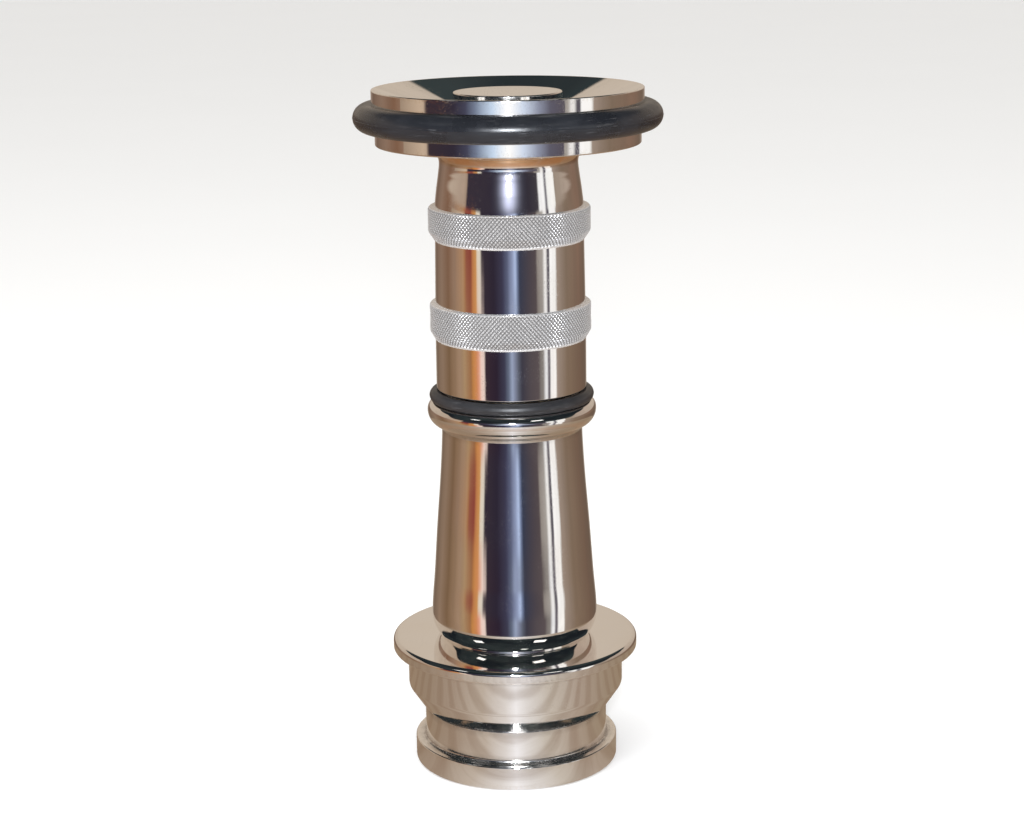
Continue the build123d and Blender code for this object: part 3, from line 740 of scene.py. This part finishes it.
def knurl_band(name, outline, z0, z1, holes=()):
    """Raised grip with a diamond knurl: V grooves of two opposite helices, cut
    across the band and running out over its chamfers.  outline is the band's
    plain outer profile [(r, z), ...] from bottom to top."""
    count, per, depth, flat = 128, 8, 0.46, 0.86
    cols = count * per
    pitch_z = 2 * math.pi * BAND_R / count * 1.12
    rows_n = int(round((z1 - z0) / pitch_z * per))
    dz = pitch_z / per
    zs = [z0 + k * dz for k in range(rows_n + 1)]
    zs[-1] = z1

    def plain(z):
        for (ra, za), (rb, zb) in zip(outline, outline[1:]):
            if za <= z <= zb + 1e-9:
                return ra + (rb - ra) * (z - za) / max(1e-9, zb - za)
        return outline[-1][0]

    def tri(t):
        f = t - math.floor(t)
        return 1.0 - abs(2.0 * f - 1.0)          # 0 in the groove, 1 between grooves

    verts, cav, wear = [], [], []
    for j, z in enumerate(zs):
        base = plain(z)
        for i in range(cols):
            h = min(tri((i + j) / per), tri((i - j) / per)) / flat
            h = min(1.0, h)
            cut_depth = max(0.0, 1.0 - h)
            # the rolled pattern dies out only at the very ends of the band
            ends = max(0.0, min(1.0, (z - z0 - 0.5) / 0.7)) * max(0.0, min(1.0, (z1 - 0.25 - z) / 0.4))
            r = base - depth * cut_depth * ends
            cut_depth *= ends
            a = 2 * math.pi * i / cols
            verts.append((r * math.cos(a) * MM, r * math.sin(a) * MM, z * MM))
            # cavity marks the groove depth, darkened in the knurl material as painted shade; wear marks the crests,
            # lightened there as worn polish and painted highlight
            cav.append(min(1.0, cut_depth * 1.1))
            wear.append(1.0 if h > 0.97 else 0.0)
    faces = []
    for j in range(len(zs) - 1):
        for i in range(cols):
            k = (i + 1) % cols
            a, b = j * cols + i, j * cols + k
            c, d = (j + 1) * cols + k, (j + 1) * cols + i
            if (i - j) % 2 == 0:
                faces += [(a, b, c), (a, c, d)]
            else:
                faces += [(a, b, d), (b, c, d)]
    # closed: ends and a plain inner wall inside the sleeve
    inner = len(verts)
    step = 8
    for z in (z0, z1):
        for i in range(cols // step):
            a = 2 * math.pi * i / (cols // step)
            verts.append((27.4 * math.cos(a) * MM, 27.4 * math.sin(a) * MM, z * MM))
            cav.append(0.0)
            wear.append(0.0)
    m = cols // step
    top = (len(zs) - 1) * cols
    for q in range(m):
        w = (q + 1) % m
        low_a, low_b = inner + q, inner + w
        up_a, up_b = inner + m + q, inner + m + w
        ring_low = [(q * step + t) % cols for t in range(step + 1)]
        faces.append(tuple([low_a] + [low_b] + [v for v in reversed(ring_low)]))
        ring_up = [top + (q * step + t) % cols for t in range(step + 1)]
        faces.append(tuple([up_b] + [up_a] + ring_up))
        faces.append((low_b, low_a, up_a, up_b))
    mesh = bpy.data.meshes.new(name)
    mesh.from_pydata(verts, [], faces)
    obj = bpy.data.objects.new(name, mesh)
    scene.collection.objects.link(obj)
    mesh.materials.append(M_KNURL)
    for key, vals in (("wear", wear), ("cavity", cav), ("s", [v[2] * 1000 for v in verts])):
        at = mesh.attributes.new(key, "FLOAT", "POINT")
        at.data.foreach_set("value", vals)
    bm = bmesh.new()
    bm.from_mesh(mesh)
    bmesh.ops.recalc_face_normals(bm, faces=bm.faces)
    bm.to_mesh(mesh)
    bm.free()
    for az, z, rad in holes:
        cutter = radial_cutter(rad, 26.0, BAND_R + 2.0, z, az)
        mod = obj.modifiers.new("cut", "BOOLEAN")
        mod.operation, mod.solver, mod.object = "DIFFERENCE", "EXACT", cutter
        bpy.context.view_layer.update()
        dg = bpy.context.evaluated_depsgraph_get()
        new = bpy.data.meshes.new_from_object(obj.evaluated_get(dg), preserve_all_data_layers=True, depsgraph=dg)
        obj.modifiers.clear()
        old = obj.data
        obj.data = new
        bpy.data.meshes.remove(old)
        bpy.data.objects.remove(cutter)
    obj.data.polygons.foreach_set("use_smooth", [False] * len(obj.data.polygons))
    return obj


rear = knurl_band("rear_grip", [(28.6, 169.2), (28.75, 169.35), (30.3, 171.9), (BAND_R, 172.8), (BAND_R, 182.7),
                                (BAND_R - 0.7, 183.35), (28.4, 183.4)], 169.25, 183.4,
                  holes=((0.0, 178.15, 3.0), (180.0, 178.15, 3.0)))
place(rear, "sleeve", "polished_metal", "twist_sleeve")
front = knurl_band("front_grip", [(28.1, 207.0), (28.25, 207.2), (30.2, 209.9), (BAND_R, 210.9), (BAND_R, 219.4),
                                  (BAND_R - 0.8, 220.15), (28.0, 220.2)], 207.1, 220.2)
place(front, "sleeve", "polished_metal", "twist_sleeve")


# ---------------------------------------------------------------- head
def dish_z(r):
    return HEAD_TOP - (HEAD_R_TOP - 0.9 - r) * math.tan(math.radians(DISH_DEG))


G = RING_CORD_R + 0.02
DZ_LOW = math.sqrt(G ** 2 - (RING_CENTRE_R - HEAD_R_LOW) ** 2)
DZ_TOP = math.sqrt(G ** 2 - (RING_CENTRE_R - HEAD_R_TOP) ** 2)
SOCKET_R, DISH_IN = HEAD_SPIGOT_R + 0.02, MOUTH_R + 0.4
head_items = [
    (SOCKET_R, HEAD_LOW), (HEAD_R_LOW, HEAD_LOW, 0.5), (HEAD_R_LOW, RING_Z - DZ_LOW),
    ("arc", (RING_CENTRE_R - G, RING_Z), (HEAD_R_TOP, RING_Z + DZ_TOP)),
    (HEAD_R_TOP, HEAD_TOP, 0.4), (HEAD_R_TOP - 0.9, HEAD_TOP),
    (DISH_IN, dish_z(DISH_IN)), (MOUTH_R, dish_z(DISH_IN) - 0.5), (MOUTH_R, SLEEVE_TOP + 0.05),
    (SOCKET_R, SLEEVE_TOP + 0.05),
    (SOCKET_R, 250.6), (26.6, 250.6), (26.6, 248.6), (SOCKET_R, 248.6),
]
head, pf = lathe("head_shell", head_items, M_POLISH_HEAD, seg=384, keep_profile=True)
cut(head, radial_cutter(2.0, HEAD_SPIGOT_R - 2.0, HEAD_R_LOW + 2.0, 246.1, 90.0, lip=0.1), pf)
place(head, "sleeve", "polished_metal", "bumper_head")

# ---------------------------------------------------------------- rubber rings
def cord_profile(centre_r, cord_r, z, seam=0.0, steps=72):
    """Round rubber section."""
    rows = []
    for k in range(steps):
        t = 2 * math.pi * k / steps
        rows.append((centre_r + cord_r * math.cos(t), z + cord_r * math.sin(t), -math.sin(t), math.cos(t)))
    return rows


class RawProfile(Profile):
    def __init__(self, rows, wear_fn=None):
        self.rows = rows
        n = len(rows)
        self.s = [0.0]
        for i in range(1, n):
            self.s.append(self.s[-1] + math.hypot(rows[i][0] - rows[i - 1][0], rows[i][1] - rows[i - 1][1]))
        self.wear = [wear_fn(r) if wear_fn else 0.0 for r in rows]
        self.cav = [0.0] * n
        self.tree = kdtree.KDTree(n)
        for i, r in enumerate(rows):
            self.tree.insert((r[0], r[1], 0.0), i)
        self.tree.balance()


def seam_rows(centre_r, cord_r, z, seam, width):
    """Round section with a low mould line on its outside."""
    rows = []
    steps = 96
    angs = [2 * math.pi * k / steps for k in range(steps)]
    extra = [math.asin(w / cord_r) for w in (-1.5 * width, -width, -0.5 * width, -0.2 * width, 0.2 * width, 0.5 * width, width, 1.5 * width)]
    angs = sorted(set([a if a < math.pi else a - 2 * math.pi for a in angs] + extra))
    for t in angs:
        h = z + cord_r * math.sin(t) - z
        bump = seam * math.exp(-(h / (0.45 * width)) ** 2) if math.cos(t) > 0 else 0.0
        slope = bump * (-2 * h / (0.45 * width) ** 2) if bump else 0.0
        r = cord_r + bump
        # tangent of the bulged section
        tr = -math.sin(t) + slope * math.cos(t) * math.cos(t)
        tz = math.cos(t) + slope * math.cos(t) * math.sin(t)
        ln = math.hypot(tr, tz)
        rows.append((centre_r + r * math.cos(t), z + r * math.sin(t), tr / ln, tz / ln))
    return rows


bumper = lathe("rubber_bumper", RawProfile(seam_rows(RING_CENTRE_R, RING_CORD_R, RING_Z, 0.07, 0.35),
                                           lambda r: max(0.0, (r[0] - RING_CENTRE_R) / RING_CORD_R) ** 2), M_BUMPER, seg=384)
place(bumper, "sleeve", "bumper_rubber", "bumper_ring")
buffer_ = lathe("rubber_buffer", RawProfile(seam_rows(29.27, 2.33, 147.36, 0.04, 0.25),
                                            lambda r: max(0.0, (r[0] - 29.27) / 2.33) ** 2), M_RUBBER, seg=256)
place(buffer_, "barrel_body", "black_rubber", "buffer_ring")

# ---------------------------------------------------------------- deflector
deflector_items = [
    (STEM_THREAD_R + 0.05, DEFL_LOW), (8.2, DEFL_LOW), (8.8, DEFL_LOW + 0.6), (8.8, 249.6),
    ("arc", (12.6, 256.4), (19.9, 259.9)),
    (DISC_R, 260.5), (DISC_R, DISC_TOP, 0.5), (0.0, DISC_TOP), (0.0, 257.0),
    (STEM_THREAD_R + 0.05, 256.0),
]
deflector = lathe("deflector_disc", deflector_items, M_POLISH_DISC, seg=256)
place(deflector, "barrel_body", "polished_metal", "deflector")

# ---------------------------------------------------------------- carried-over CAD nodes
CARRIED = {
    "coupling_gasket": M_RUBBER, "rear_seal_ring": M_RUBBER, "front_seal_ring": M_RUBBER,
    "valve_seat_rubber": M_RUBBER, "wiper_ring": M_RUBBER, "head_seal_ring": M_RUBBER,
    "coupling_lock_screw": M_STEEL, "guide_screws": M_STEEL, "head_lock_screw": M_STEEL, "spider_circlip": M_STEEL,
    "stem": M_BRASS, "stem_spider": M_GREY, "valve_head": M_BRASS, "seat_clamp_washer": M_BRASS,
    "seat_clamp_nut": M_BRASS, "stem_nut": M_BRASS, "stem_washer": M_BRASS, "deflector_lock_nut": M_BRASS,
}
for n, m in CARRIED.items():
    o = nodes[n]
    if not o.material_slots:
        o.data.materials.append(m)
    for sl in o.material_slots:
        sl.material = m

# ---------------------------------------------------------------- stage
floor_mat, g = new_material("pale_floor")
obj = g.n("ShaderNodeTexCoord").outputs["Object"]
soft = g.remap(g.noise(obj, 3.0, detail=2.0), 0.3, 0.7)
col = g.mix(g.math("MULTIPLY", soft, 0.3), (0.90, 0.895, 0.885), (0.885, 0.88, 0.87))
shader(g, Base_Color=col, Roughness=0.9)
bm = bmesh.new()
bmesh.ops.create_grid(bm, x_segments=8, y_segments=8, size=6.0)
mesh = bpy.data.meshes.new("floor")
bm.to_mesh(mesh)
bm.free()
floor = bpy.data.objects.new("floor", mesh)
scene.collection.objects.link(floor)
mesh.materials.append(floor_mat)
floor.location = (0, 0, -0.0002)
floor.visible_glossy = False

# ---------------------------------------------------------------- surroundings seen in the metal
world = bpy.data.worlds.new("studio")
scene.world = world
world.use_nodes = True
g = Nodes(world.node_tree)
gen = g.n("ShaderNodeTexCoord").outputs["Generated"]
sep = g.n("ShaderNodeSeparateXYZ")
g.link(gen, sep.inputs[0])
X, Y, Z = sep.outputs
az = g.math("ARCTAN2", X, g.math("MULTIPLY", Y, -1.0))
azf = g.math("MULTIPLY_ADD", az, 1.0 / (2 * math.pi), 0.5)          # 0.5 is towards the camera
elev = g.math("MULTIPLY", g.math("ARCSINE", Z), 180.0 / math.pi)


def ramp(factor, stops):
    """Colour ramp over azimuth; a long one is made of two, split in its middle."""
    if len(stops) > 30:
        h = len(stops) // 2
        split = (stops[h][0] + 180.0) / 360.0
        return g.mix(g.math("GREATER_THAN", factor, split), ramp(factor, stops[:h + 1]), ramp(factor, stops[h:]))
    r = g.n("ShaderNodeValToRGB")
    g.link(factor, r.inputs[0])
    els = r.color_ramp.elements
    while len(els) > 1:
        els.remove(els[-1])
    first = True
    for a, c in stops:
        pos = (a + 180.0) / 360.0
        if first:
            els[0].position = pos
            e = els[0]
            first = False
        else:
            e = els.new(pos)
        e.color = (*lin(c), 1.0)
    return r.outputs[0]


M = ramp(azf, [(-180, (198, 182, 168)), (-155, (116, 94, 80)), (-130, (140, 115, 98)), (-110, (128, 96, 76)),
               (-95, (150, 122, 103)), (-77, (176, 136, 102)), (-73, (166, 112, 74)), (-71, (150, 84, 66)),
               (-62, (140, 68, 58)), (-59, (190, 124, 78)), (-53, (204, 150, 90)), (-51.5, (228, 216, 196)),
               (-46, (222, 214, 200)), (-44.5, (52, 44, 56)), (-25, (46, 40, 54)), (-12, (60, 58, 80)),
               (-4, (92, 98, 126)), (4, (150, 162, 196)), (8, (186, 204, 240)), (10.5, (120, 134, 168)), (14, (56, 62, 82)),
               (28, (74, 68, 76)), (40, (86, 76, 78)), (42, (148, 140, 134)), (51, (170, 164, 158)), (53.5, (244, 242, 240)),
               (57, (244, 242, 240)), (58.5, (92, 88, 96)), (62, (92, 88, 96)), (63.2, (255, 254, 254)),
               (74, (255, 254, 252)), (75.5, (158, 142, 130)), (95, (130, 112, 96)), (130, (132, 106, 90)),
               (155, (116, 98, 84)), (180, (198, 182, 168))])
L = ramp(azf, [(-180, (200, 186, 170)), (-155, (118, 98, 82)), (-130, (144, 120, 100)), (-110, (122, 96, 72)),
               (-95, (148, 120, 95)), (-85, (162, 134, 110)), (-76, (170, 140, 106)), (-64, (160, 112, 74)),
               (-61, (196, 134, 74)), (-54, (210, 140, 92)), (-50, (226, 160, 136)), (-46.5, (242, 212, 200)),
               (-41.5, (236, 214, 204)), (-40, (56, 42, 52)), (-22, (46, 36, 50)), (-10, (62, 62, 82)),
               (-4, (104, 114, 136)), (1, (156, 168, 196)), (5, (132, 140, 164)), (11, (90, 94, 108)),
               (16, (62, 60, 72)), (30, (84, 76, 80)), (42, (92, 82, 84)), (46, (130, 124, 120)), (50, (142, 136, 132)),
               (53, (240, 240, 242)), (56.5, (240, 240, 242)), (58, (110, 104, 110)), (61, (104, 98, 106)),
               (62.5, (255, 252, 250)), (72, (255, 252, 248)), (73.5, (158, 142, 130)), (95, (131, 111, 93)),
               (130, (116, 94, 79)), (155, (108, 90, 77)), (180, (200, 186, 170))])
T = ramp(azf, [(-180, (172, 154, 134)), (-130, (150, 128, 106)), (-95, (156, 136, 116)), (-65, (168, 150, 134)),
               (-35, (198, 186, 174)), (-15, (220, 212, 206)), (0, (240, 236, 236)), (15, (230, 224, 222)),
               (35, (206, 197, 186)), (60, (178, 162, 147)), (95, (158, 140, 120)), (130, (150, 130, 108)),
               (180, (172, 154, 134))])
U = ramp(azf, [(-180, (200, 186, 170)), (-110, (186, 168, 150)), (-76, (176, 154, 136)), (-71, (164, 142, 124)),
               (-69.5, (56, 48, 58)), (-30, (52, 46, 58)), (0, (60, 62, 76)), (30, (52, 48, 58)), (46, (66, 62, 68)),
               (47, (252, 252, 252)), (57, (252, 252, 252)), (58.2, (120, 118, 124)), (61, (120, 118, 124)),
               (62.2, (252, 252, 250)), (76, (252, 250, 246)), (77.2, (156, 142, 128)), (110, (180, 162, 148)),
               (180, (200, 186, 170))])
# the wooden table around the nozzle: its grain runs in long arches
down = g.math("MAXIMUM", g.math("MULTIPLY", Z, -1.0), 0.12)
plane = g.n("ShaderNodeCombineXYZ")
g.link(g.math("DIVIDE", X, down), plane.inputs[0])
g.link(g.math("DIVIDE", Y, down), plane.inputs[1])
wood = g.n("ShaderNodeTexWave", wave_type="RINGS", rings_direction="Z", wave_profile="SAW")
g.link(g.mapping(plane.outputs[0], scale=(0.30, 0.085, 1.0), loc=(0.03, 0.35, 0.0)), wood.inputs["Vector"])
wood.inputs["Scale"].default_value = 4.2
wood.inputs["Distortion"].default_value = 2.2
wood.inputs["Detail"].default_value = 2.0
wood.inputs["Detail Scale"].default_value = 1.2
pores = g.noise(g.mapping(plane.outputs[0], scale=(5.0, 0.5, 1.0)), 1.0, detail=4.0)
grain = g.math("MULTIPLY_ADD", g.remap(pores, 0.4, 0.7), 0.25, g.math("MULTIPLY", wood.outputs["Fac"], 0.8), clamp=True)
T = g.mix(g.math("MULTIPLY", grain, 0.20), T, lin((122, 98, 76)))
c = g.mix(g.remap(elev, -7.6, -11.8), M, L)
c = g.mix(g.remap(elev, -18.6, -20.0), c, T)
c = g.mix(g.math("MULTIPLY", g.remap(elev, -23.5, -34.0), 0.35), c, lin((170, 130, 100)))
c = g.mix(g.remap(elev, 0.5, 2.5), c, U)
# the wall behind ends about 30 degrees up, the room before it is dark with a few lamps
back = g.math("MULTIPLY", g.remap(g.math("ABSOLUTE", az), math.radians(84), math.radians(112)), 1.0)
top = g.math("MULTIPLY_ADD", back, 15.0, 14.0)
room = g.remap(g.math("SUBTRACT", elev, top), 0.0, 1.6)
ceil = g.n("ShaderNodeValToRGB")
g.link(g.noise(g.mapping(gen, scale=(1.3, 1.3, 2.2), loc=(0.4, 0.1, 0)), 1.0, detail=2.0), ceil.inputs[0])
ceil.color_ramp.elements[0].position, ceil.color_ramp.elements[0].color = 0.36, (*lin((25, 31, 36)), 1)
ceil.color_ramp.elements[1].position, ceil.color_ramp.elements[1].color = 0.66, (*lin((54, 63, 64)), 1)
c = g.mix(room, c, ceil.outputs[0])


def lamp(azimuth, elevation, half_a, half_e, colour, base, soft=1.5):
    """Soft-edged lit patch of the room."""
    da = g.math("ABSOLUTE", g.math("SUBTRACT", g.math("MULTIPLY", az, 180.0 / math.pi), azimuth))
    de = g.math("ABSOLUTE", g.math("SUBTRACT", elev, elevation))
    m = g.math("MULTIPLY", g.remap(da, half_a + soft, half_a), g.remap(de, half_e + soft, half_e))
    return g.mix(m, base, colour)


c = lamp(40, 41, 9, 3.2, (1.6, 1.6, 1.6), c)
c = lamp(-62, 44, 7, 2.6, (1.5, 1.5, 1.5), c)
c = lamp(30, 74, 9, 1.8, (1.0, 1.05, 1.0), c)
# glow around the flash
ga = g.math("POWER", g.math("DIVIDE", g.math("MULTIPLY", az, 180.0 / math.pi), 11.0), 2.0)
ge = g.math("POWER", g.math("DIVIDE", g.math("SUBTRACT", elev, 10.0), 6.5), 2.0)
glow = g.math("EXPONENT", g.math("MULTIPLY", g.math("ADD", ga, ge), -1.0))
c = g.mix(glow, c, (1.20, 1.28, 1.70))
mottle = g.noise(g.mapping(gen, scale=(6.0, 6.0, 10.0)), 1.0, detail=3.0)
c = g.mix(g.remap(mottle, 0.35, 0.7, 0.0, 0.10), c, lin((70, 62, 60)))

path = g.n("ShaderNodeLightPath")
plain = g.math("MAXIMUM", path.outputs["Is Camera Ray"], path.outputs["Is Diffuse Ray"])
c = g.mix(plain, c, (0.98, 0.98, 0.975))
bg = g.n("ShaderNodeBackground")
g.link(c, bg.inputs["Color"])
bg.inputs["Strength"].default_value = 1.0
out = g.n("ShaderNodeOutputWorld")
g.link(bg.outputs[0], out.inputs["Surface"])

# ---------------------------------------------------------------- camera and lights
cam_data = bpy.data.cameras.new("camera")
cam = bpy.data.objects.new("camera", cam_data)
scene.collection.objects.link(cam)
cam_data.sensor_width = 36.0
cam_data.lens = 78.35
cam.matrix_world = (Matrix.Translation((0.0, -0.83593, 0.34027))
                    @ Matrix.Rotation(math.radians(90.0 - 13.556), 4, "X")
                    @ Matrix.Rotation(math.radians(-0.785), 4, "Z"))
cam_data.clip_start, cam_data.clip_end = 0.05, 50.0
scene.camera = cam

# small flash beside the lens, and a large soft light overhead
flash_data = bpy.data.lights.new("flash", "AREA")
flash_data.shape = "RECTANGLE"
flash_data.size, flash_data.size_y = 0.095, 0.075
flash_data.energy = 8.0
flash_data.color = (0.90, 0.94, 1.0)
flash = bpy.data.objects.new("flash", flash_data)
scene.collection.objects.link(flash)
flash.location = (0.0, -0.86, 0.385)
flash.rotation_euler = (Vector((0, 0, 0.14)) - flash.location).to_track_quat("-Z", "Y").to_euler()

soft_data = bpy.data.lights.new("soft_overhead", "AREA")
soft_data.shape = "DISK"
soft_data.size = 1.6
soft_data.energy = 13.0
soft_l = bpy.data.objects.new("soft_overhead", soft_data)
scene.collection.objects.link(soft_l)
soft_l.location = (-0.5, -0.4, 1.7)
soft_l.rotation_euler = (Vector((0, 0, 0.1)) - soft_l.location).to_track_quat("-Z", "Y").to_euler()
soft_l.visible_glossy = False

# the pale-blue room light that only the head's rim mirrors: a bent card, unseen by the camera
H_STOPS = [(-100, (150, 130, 112)), (-75, (190, 168, 146)), (-71.2, (182, 160, 140)), (-69.8, (56, 46, 52)), (-45, (48, 42, 54)), (-34, (66, 66, 84)), (-26, (112, 122, 144)),
           (-12, (196, 214, 236)), (0, (255, 255, 255)), (12, (204, 216, 236)), (24, (140, 146, 166)),
           (34, (92, 90, 104)), (46, (84, 78, 88))]
card_mat, g = new_material("room_light_card")
co = g.n("ShaderNodeTexCoord").outputs["Object"]
sp = g.n("ShaderNodeSeparateXYZ")
g.link(co, sp.inputs[0])
ca = g.math("ARCTAN2", sp.outputs[0], g.math("MULTIPLY", sp.outputs[1], -1.0))
card_c = ramp(g.math("MULTIPLY_ADD", ca, 1.0 / (2 * math.pi), 0.5), H_STOPS)
em = g.n("ShaderNodeEmission")
g.link(card_c, em.inputs["Color"])
em.inputs["Strength"].default_value = 1.08
mo = g.n("ShaderNodeOutputMaterial")
g.link(em.outputs[0], mo.inputs["Surface"])
bm = bmesh.new()
cols = []
for k in range(61):
    a = math.radians(-98.0 + 144.5 * k / 60)
    cols.append([bm.verts.new((0.8 * math.sin(a), -0.8 * math.cos(a), z)) for z in (0.128, 0.212)])
for a, b in zip(cols, cols[1:]):
    bm.faces.new((a[0], b[0], b[1], a[1]))
mesh = bpy.data.meshes.new("room_light_card")
bm.to_mesh(mesh)
bm.free()
card = bpy.data.objects.new("room_light_card", mesh)
scene.collection.objects.link(card)
mesh.materials.append(card_mat)
card.visible_camera = False
card.visible_diffuse = False
card.visible_shadow = False

# the wooden table top close to the nozzle, seen only as a reflection in the coupling
table_mat, g = new_material("table_card")
co = g.n("ShaderNodeTexCoord").outputs["Object"]
sp = g.n("ShaderNodeSeparateXYZ")
g.link(co, sp.inputs[0])
ta = g.math("ARCTAN2", sp.outputs[0], g.math("MULTIPLY", sp.outputs[1], -1.0))
tone = ramp(g.math("MULTIPLY_ADD", ta, 1.0 / (2 * math.pi), 0.5),
            [(-180, (176, 158, 138)), (-130, (154, 132, 110)), (-95, (152, 132, 112)), (-60, (164, 145, 128)),
             (-30, (192, 178, 164)), (-10, (222, 215, 210)), (0, (246, 243, 244)), (10, (226, 221, 218)),
             (30, (200, 190, 178)), (60, (172, 155, 140)), (95, (158, 140, 120)), (130, (152, 132, 110)),
             (180, (176, 158, 138))])
wood = g.n("ShaderNodeTexWave", wave_type="RINGS", rings_direction="Z", wave_profile="SIN")
g.link(g.mapping(co, scale=(0.42, 1.0, 1.0), loc=(-0.012, 0.33, 0.0), rot=(0, 0, 0.10)), wood.inputs["Vector"])
wood.inputs["Scale"].default_value = 11.0
wood.inputs["Distortion"].default_value = 5.5
wood.inputs["Detail"].default_value = 3.0
wood.inputs["Detail Scale"].default_value = 0.9
pores = g.noise(g.mapping(co, scale=(30.0, 420.0, 1.0), rot=(0, 0, 0.10)), 1.0, detail=3.0)
grain = g.math("MULTIPLY_ADD", g.remap(pores, 0.45, 0.7), 0.25, g.math("MULTIPLY", g.remap(wood.outputs["Fac"], 0.25, 0.95), 0.7), clamp=True)
wood_c = g.mix(g.math("MULTIPLY", grain, 0.44), tone, lin((128, 102, 80)))
rad = g.n("ShaderNodeVectorMath", operation="LENGTH")
g.link(co, rad.inputs[0])
fade = g.remap(rad.outputs["Value"], 0.150, 0.185)
em = g.n("ShaderNodeEmission")
g.link(wood_c, em.inputs["Color"])
em.inputs["Strength"].default_value = 1.0
tr = g.n("ShaderNodeBsdfTransparent")
mx = g.n("ShaderNodeMixShader")
g.link(fade, mx.inputs[0])
g.link(em.outputs[0], mx.inputs[1])
g.link(tr.outputs[0], mx.inputs[2])
mo = g.n("ShaderNodeOutputMaterial")
g.link(mx.outputs[0], mo.inputs["Surface"])
bm = bmesh.new()
bmesh.ops.create_circle(bm, cap_ends=True, segments=96, radius=0.19)
mesh = bpy.data.meshes.new("table_card")
bm.to_mesh(mesh)
bm.free()
table = bpy.data.objects.new("table_card", mesh)
scene.collection.objects.link(table)
table.location = (0, 0, -0.0004)
mesh.materials.append(table_mat)
table.visible_camera = False
table.visible_diffuse = False
table.visible_shadow = False

scene.view_settings.view_transform = "Standard"
scene.view_settings.look = "None"

bpy.context.view_layer.update()
